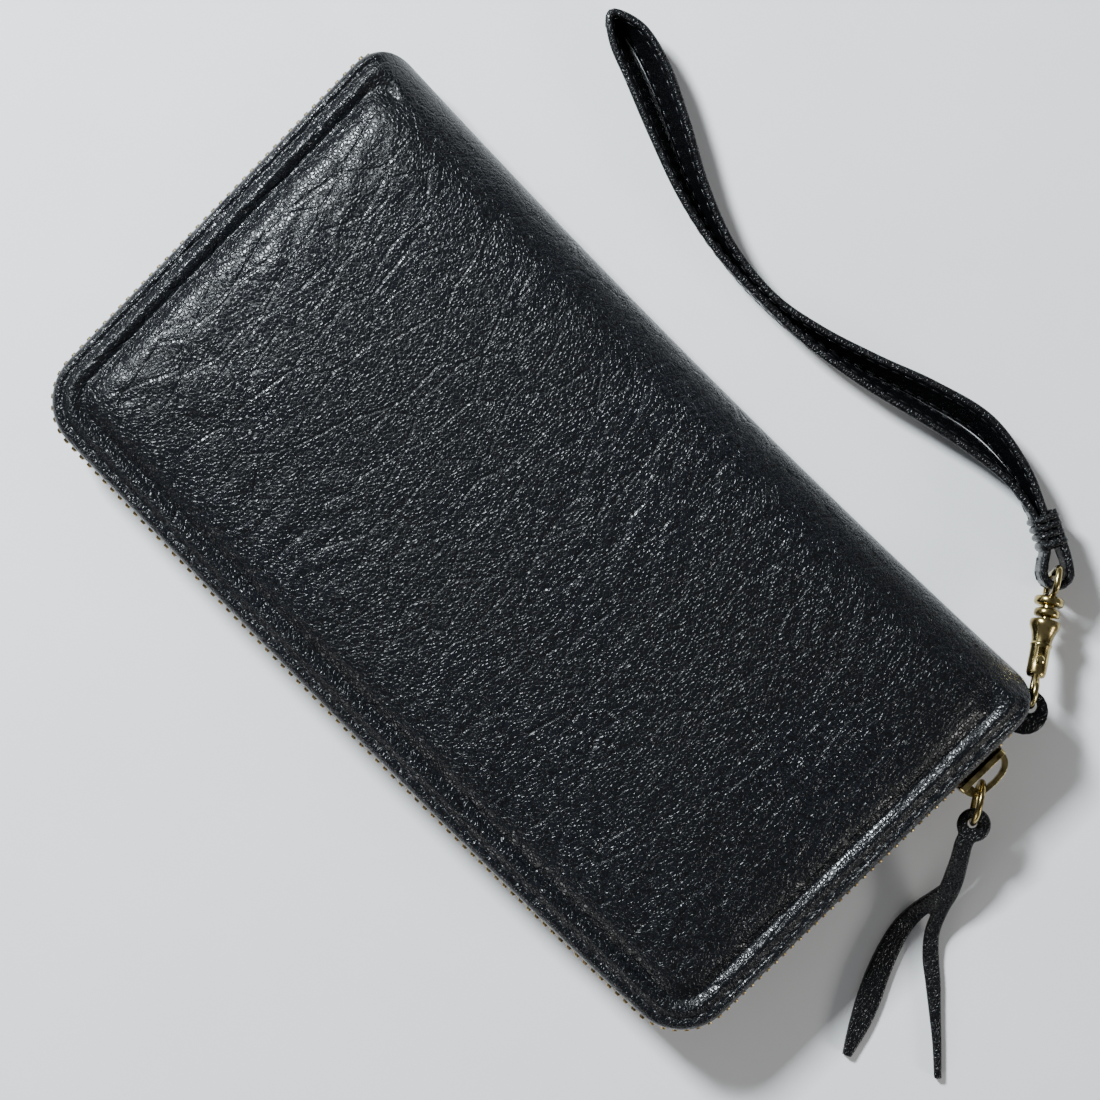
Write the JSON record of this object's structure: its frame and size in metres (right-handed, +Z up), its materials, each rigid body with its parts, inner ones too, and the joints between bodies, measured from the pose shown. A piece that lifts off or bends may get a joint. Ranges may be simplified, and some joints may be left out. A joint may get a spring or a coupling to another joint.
{
  "type": "wristlet wallet",
  "caption": "Long zip-around leather wallet with padded covers, a hinged spine, a wrist strap on a swivel snap and a split leather zip pull.",
  "frame": {"origin": "middle of the back cover's flat underside, where the closed wallet rests", "axes": "+X along the spine towards the strap tab, +Y towards the spine, +Z up through the closed wallet"},
  "size_m": [0.2398, 0.149, 0.0251],
  "materials": {
    "cover_leather": "semi-gloss pebbled black",
    "strap_leather": "satin black with dark brown raw edges",
    "lining": "dark twill",
    "board": "pressed fibre board",
    "foam": "closed-cell foam",
    "zip_tape": "woven tape",
    "brass": "polished antique brass",
    "spring_steel": "drawn wire"
  },
  "bodies": {
    "back_half": {"back_cover": "cover_leather", "back_padding": "foam", "back_board": "board", "back_lining": "lining", "back_card_panel": "lining", "back_card_pocket_left_1": "cover_leather", "back_card_pocket_left_2": "cover_leather", "back_card_pocket_right_1": "cover_leather", "back_card_pocket_right_2": "cover_leather", "back_zip_tape": "zip_tape", "back_zip_teeth": "brass", "zip_stop_back": "brass", "zip_end_stop": "brass", "gusset_left": "lining", "gusset_right": "lining", "spine_tab": "cover_leather"},
    "front_half": {"front_cover": "cover_leather", "front_padding": "foam", "front_board": "board", "front_lining": "lining", "front_card_panel": "lining", "front_card_pocket_left_1": "cover_leather", "front_card_pocket_left_2": "cover_leather", "front_card_pocket_right_1": "cover_leather", "front_card_pocket_right_2": "cover_leather", "front_zip_tape": "zip_tape", "front_zip_teeth": "brass", "zip_stop_front": "brass"},
    "coin_pocket": {"coin_pocket_back": "lining", "coin_pocket_front": "lining", "coin_zip_row_back": "brass", "coin_zip_row_front": "brass"},
    "coin_slider": {"coin_zip_slider": "brass"},
    "coin_pull": {"coin_zip_pull": "brass"},
    "main_slider": {"main_zip_slider": "brass"},
    "ring": {"pull_ring": "brass"},
    "pull": {"leather_pull": "strap_leather"},
    "snap": {"snap_body": "brass", "snap_spring": "spring_steel"},
    "bolt": {"snap_bolt": "brass"},
    "eye": {"swivel_eye": "brass"},
    "strap": {"wrist_strap": "strap_leather"}
  },
  "joints": [
    {"name": "cover_open", "type": "hinge", "parent": "back_half", "child": "front_half", "pos_m": [0, 0.0544, 0.0125], "axis": [-1, 0, 0], "range_deg": [0, 60], "deforming": ["gusset_left", "gusset_right"]},
    {"name": "pocket_open", "type": "hinge", "parent": "back_half", "child": "coin_pocket", "pos_m": [0, 0.0544, 0.0125], "axis": [-1, 0, 0], "range_deg": [0, 30]},
    {"name": "coin_zip_slide", "type": "slide", "parent": "coin_pocket", "child": "coin_slider", "axis": [-1, 0, 0], "range_m": [0, 0.132]},
    {"name": "coin_pull_flip", "type": "hinge", "parent": "coin_slider", "child": "coin_pull", "pos_m": [0.06685, -0.0329, 0.0125], "axis": [0, 0, 1], "range_deg": [0, 170]},
    {"name": "zip_slide", "type": "slide", "parent": "back_half", "child": "main_slider", "axis": [-0.0172, -0.9999, 0], "range_m": [0, 0.064]},
    {"name": "ring_swing", "type": "hinge", "parent": "main_slider", "child": "ring", "pos_m": [0.1018, 0.0307, 0.0121], "axis": [0, 0, 1], "range_deg": [-5, 30]},
    {"name": "pull_swing", "type": "hinge", "parent": "ring", "child": "pull", "pos_m": [0.10521, 0.02526, 0.0121], "axis": [0, 0, 1], "range_deg": [-15, 35]},
    {"name": "snap_swing", "type": "hinge", "parent": "back_half", "child": "snap", "pos_m": [0.0964, 0.051, 0.012], "axis": [0, 0, 1], "range_deg": [-100, 4]},
    {"name": "bolt_draw", "type": "slide", "parent": "snap", "child": "bolt", "axis": [-0.5319, 0.8269, -0.1828], "range_m": [0, 0.0022], "stiffness_N_per_m": 300, "springref_m": -0.001, "deforming": ["snap_spring"]},
    {"name": "swivel", "type": "hinge", "parent": "snap", "child": "eye", "pos_m": [0.08523, 0.06836, 0.00816], "axis": [-0.5319, 0.8269, -0.1828], "continuous": true},
    {"name": "strap_swing", "type": "hinge", "parent": "eye", "child": "strap", "pos_m": [0.08097, 0.07498, 0.0067], "axis": [0, 0, 1], "range_deg": [-60, 4]}
  ],
  "couplings": [
    {"joint": "pocket_open", "follows": "cover_open", "ratio": 0.5}
  ]
}
